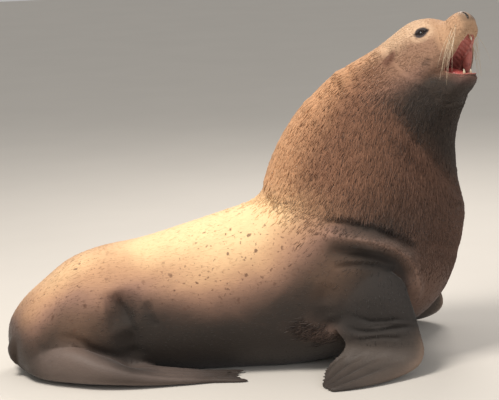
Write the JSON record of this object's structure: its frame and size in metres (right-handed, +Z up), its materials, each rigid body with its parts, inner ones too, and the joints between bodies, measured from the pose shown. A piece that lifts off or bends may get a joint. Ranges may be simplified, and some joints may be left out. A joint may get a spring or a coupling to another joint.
{
  "type": "sea lion",
  "caption": "Life-size bull sea lion resting on its belly and propped on its fore flippers, head raised and turned to its right, mouth wide open in a roar.",
  "frame": {"origin": "middle of the flat of the belly, on the floor", "axes": "+X the way the animal faces along its trunk, +Y its left side, +Z up"},
  "size_m": [2.3791, 1.399, 1.7154],
  "materials": {
    "coat_buff": "short flat fur, pale buff on top to tan on the flanks",
    "coat_mane": "coarse reddish-brown mane hair lying down the neck",
    "coat_dark": "short dark fur of the throat, tail and ears",
    "flipper_skin": "bare creased grey-brown skin",
    "eye_gloss": "wet dark eye",
    "wet_mouth": "wet pink gums, palate and tongue",
    "tooth": "ivory teeth",
    "claw": "dark horn",
    "whisker": "pale stiff whiskers"
  },
  "bodies": {
    "root": {"head": "coat_buff", "lower_jaw": "coat_dark", "neck": "coat_mane", "chest": "coat_mane", "trunk": "coat_buff", "hindquarters": "coat_buff", "tail": "coat_dark", "tongue": "wet_mouth", "fore_flipper_right": "flipper_skin", "fore_flipper_left": "flipper_skin", "hind_flipper_right": "flipper_skin", "hind_flipper_left": "flipper_skin", "ear_right": "coat_dark", "ear_left": "coat_dark", "eye_right": "eye_gloss", "eye_left": "eye_gloss"}
  },
  "joints": []
}
